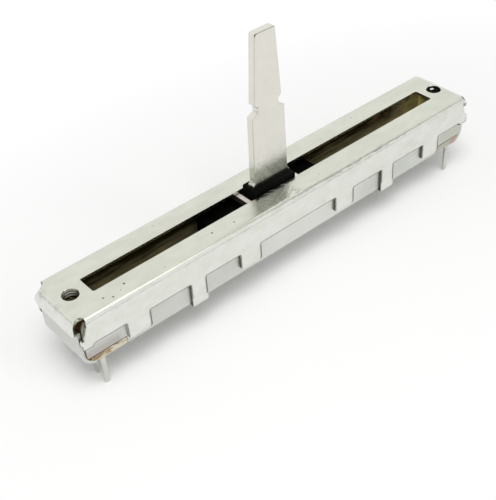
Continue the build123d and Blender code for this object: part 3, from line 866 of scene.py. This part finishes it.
def thread_material():
    """Dark tapped steel with painted shade in its grooves, painted black at the right but for a painted
    glint.
    """
    material, tree, shader, point, colour = sheet_metal("thread_steel", thread_sheet)
    right = step(tree, split(tree, point)[0], thread_right_band)
    # Painted shade: the right thread nearly black
    colour = mixed(tree, right, colour, thread_right_shade_black)
    # Painted glint: a white spot on the right thread
    glint = spots(tree, point, glint_spots_mm, glint_blur_mm)
    colour = mixed(tree, glint, colour, glint_white)
    unglinted = combined(tree, "SUBTRACT", 1.0, glint)
    # Painted shade in the thread's grooves
    groove_shade = times(tree, crevice_shade(tree, *thread_groove_reach), unglinted)
    tree.links.new(mixed(tree, groove_shade, colour, thread_groove_shade), shader.inputs["Base Color"])
    return material


def new_piece(name, data):
    """A mesh object in the scene."""
    piece = bpy.data.objects.new(name, data)
    bpy.context.scene.collection.objects.link(piece)
    return piece


def thread_piece(name, centre):
    """Helical ridge inside one tapped hole."""
    bore = thread_bore_mm * MM / 2
    crest = bore - thread_ridge_mm * MM
    pitch = thread_pitch_mm * MM
    turns = int((thread_depth_mm - thread_start_mm) / thread_pitch_mm)
    outline = (
        (bore, pitch * thread_foot), (crest, pitch * thread_crest),
        (crest, -pitch * thread_crest), (bore, -pitch * thread_foot),
    )
    mesh = bmesh.new()
    previous = None
    for count in range(turns * thread_steps + 1):
        angle = 2 * math.pi * count / thread_steps
        across = Vector((math.cos(angle), math.sin(angle), 0))
        drop = centre.z - thread_start_mm * MM - pitch * count / thread_steps
        section = [
            mesh.verts.new(Vector((centre.x, centre.y, drop + rise)) + across * radius)
            for radius, rise in outline
        ]
        if previous:
            for low in range(len(section) - 1):
                high = low + 1
                mesh.faces.new((previous[low], section[low], section[high], previous[high]))
        else:
            mesh.faces.new(section)
        previous = section
    mesh.faces.new(tuple(reversed(previous)))
    bmesh.ops.recalc_face_normals(mesh, faces=mesh.faces)
    data = bpy.data.meshes.new(name)
    mesh.to_mesh(data)
    mesh.free()
    return new_piece(name, data)


def add_threads():
    """A thread in each of the two tapped holes."""
    steel = thread_material()
    for name, side in (("thread_left", -1), ("thread_right", 1)):
        piece = thread_piece(name, Vector((side * hole_place_mm * MM, 0, 0)))
        piece.data.materials.append(steel)
        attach(piece, "housing")


def seen_rays(tree):
    """One for rays from the camera, a mirror or a lens, and zero for those that only light."""
    path = add(tree, "ShaderNodeLightPath")
    seen = larger(tree, path.outputs["Is Camera Ray"], path.outputs["Is Glossy Ray"])
    return larger(tree, seen, path.outputs["Is Transmission Ray"])


def rectangle(name, half_x, half_y):
    """A flat rectangle about the middle."""
    data = bpy.data.meshes.new(name)
    corners = [(-half_x, -half_y, 0), (half_x, -half_y, 0), (half_x, half_y, 0), (-half_x, half_y, 0)]
    data.from_pydata(corners, [], [tuple(range(len(corners)))])
    return new_piece(name, data)


def add_floor():
    """A wide plain floor at the tips of the pins."""
    floor = rectangle("floor", floor_half_width, floor_half_width)
    floor.location.z = cad_low.z
    material, tree, shader = start_material("floor", {"Metallic": 0.0, "Roughness": floor_roughness})
    shader.inputs["Base Color"].default_value = floor_colour
    shader.inputs["Specular IOR Level"].default_value = floor_gloss
    squeezed = add(tree, "ShaderNodeMapping", inputs={"Scale": floor_squeeze})
    tree.links.new(place(tree), squeezed.inputs["Vector"])
    length = add(tree, "ShaderNodeVectorMath", settings={"operation": "LENGTH"})
    tree.links.new(squeezed.outputs["Vector"], length.inputs[0])
    far = spread(tree, length.outputs["Value"], floor_white_from, floor_white_at)
    glow = add(tree, "ShaderNodeEmission", inputs={"Color": white})
    blend = add(tree, "ShaderNodeMixShader")
    tree.links.new(times(tree, far, seen_rays(tree)), blend.inputs["Fac"])
    tree.links.new(shader.outputs["BSDF"], blend.inputs[1])
    tree.links.new(glow.outputs["Emission"], blend.inputs[2])
    output = next(node for node in tree.nodes if node.type == "OUTPUT_MATERIAL")
    tree.links.new(blend.outputs["Shader"], output.inputs["Surface"])
    floor.data.materials.append(material)


def add_world():
    """White for what the camera and the metal see, and a plain soft light on the rest."""
    world = bpy.data.worlds.new("world")
    bpy.context.scene.world = world
    world.use_nodes = True
    tree = world.node_tree
    tree.nodes.clear()
    strength = spread(tree, seen_rays(tree), 0.0, 1.0, world_diffuse_strength, 1.0)
    background = add(tree, "ShaderNodeBackground", inputs={"Color": white})
    tree.links.new(strength, background.inputs["Strength"])
    output = add(tree, "ShaderNodeOutputWorld")
    tree.links.new(background.outputs["Background"], output.inputs["Surface"])


def face_middle(thing, where):
    """Places a lamp or card, turned to face the middle of the object."""
    thing.location = where
    thing.rotation_euler = Vector(where).to_track_quat("Z", "Y").to_euler()


def add_lamp(name, where, length, width, power, mirrored):
    """A rectangular lamp."""
    data = bpy.data.lights.new(name, "AREA")
    data.shape = "RECTANGLE"
    data.size = length
    data.size_y = width
    data.energy = power
    lamp = new_piece(name, data)
    face_middle(lamp, where)
    lamp.visible_glossy = mirrored


def add_card():
    """A grey card that only the metal's reflections show."""
    card = rectangle("card", card_length / 2, card_width / 2)
    face_middle(card, card_place)
    card.visible_camera = False
    card.visible_diffuse = False
    card.visible_shadow = False
    material = bpy.data.materials.new("card")
    material.use_nodes = True
    tree = material.node_tree
    tree.nodes.clear()
    output = add(tree, "ShaderNodeOutputMaterial")
    glow = add(tree, "ShaderNodeEmission", inputs={"Color": card_colour})
    tree.links.new(glow.outputs["Emission"], output.inputs["Surface"])
    card.data.materials.append(material)


def add_camera():
    """The photograph's camera."""
    data = bpy.data.cameras.new("camera")
    data.lens = camera_lens
    data.sensor_width = camera_sensor
    data.clip_start = camera_clip_near
    data.clip_end = camera_clip_far
    camera = new_piece("camera", data)
    turn = Matrix.Rotation(math.radians(camera_azimuth), matrix_size, "Z")
    turn = turn @ Matrix.Rotation(math.radians(level_view - camera_elevation), matrix_size, "X")
    turn = turn @ Matrix.Rotation(math.radians(camera_roll), matrix_size, "Z")
    camera.matrix_world = Matrix.Translation(Vector(camera_place_mm) * MM) @ turn
    bpy.context.scene.camera = camera


dress_all()
add_threads()
add_floor()
add_world()
add_lamp("key", key_place, key_size, key_size, key_power, False)
add_lamp("strip", strip_place, strip_length, strip_width, strip_power, True)
add_card()
add_camera()
bpy.context.scene.view_settings.view_transform = "Standard"
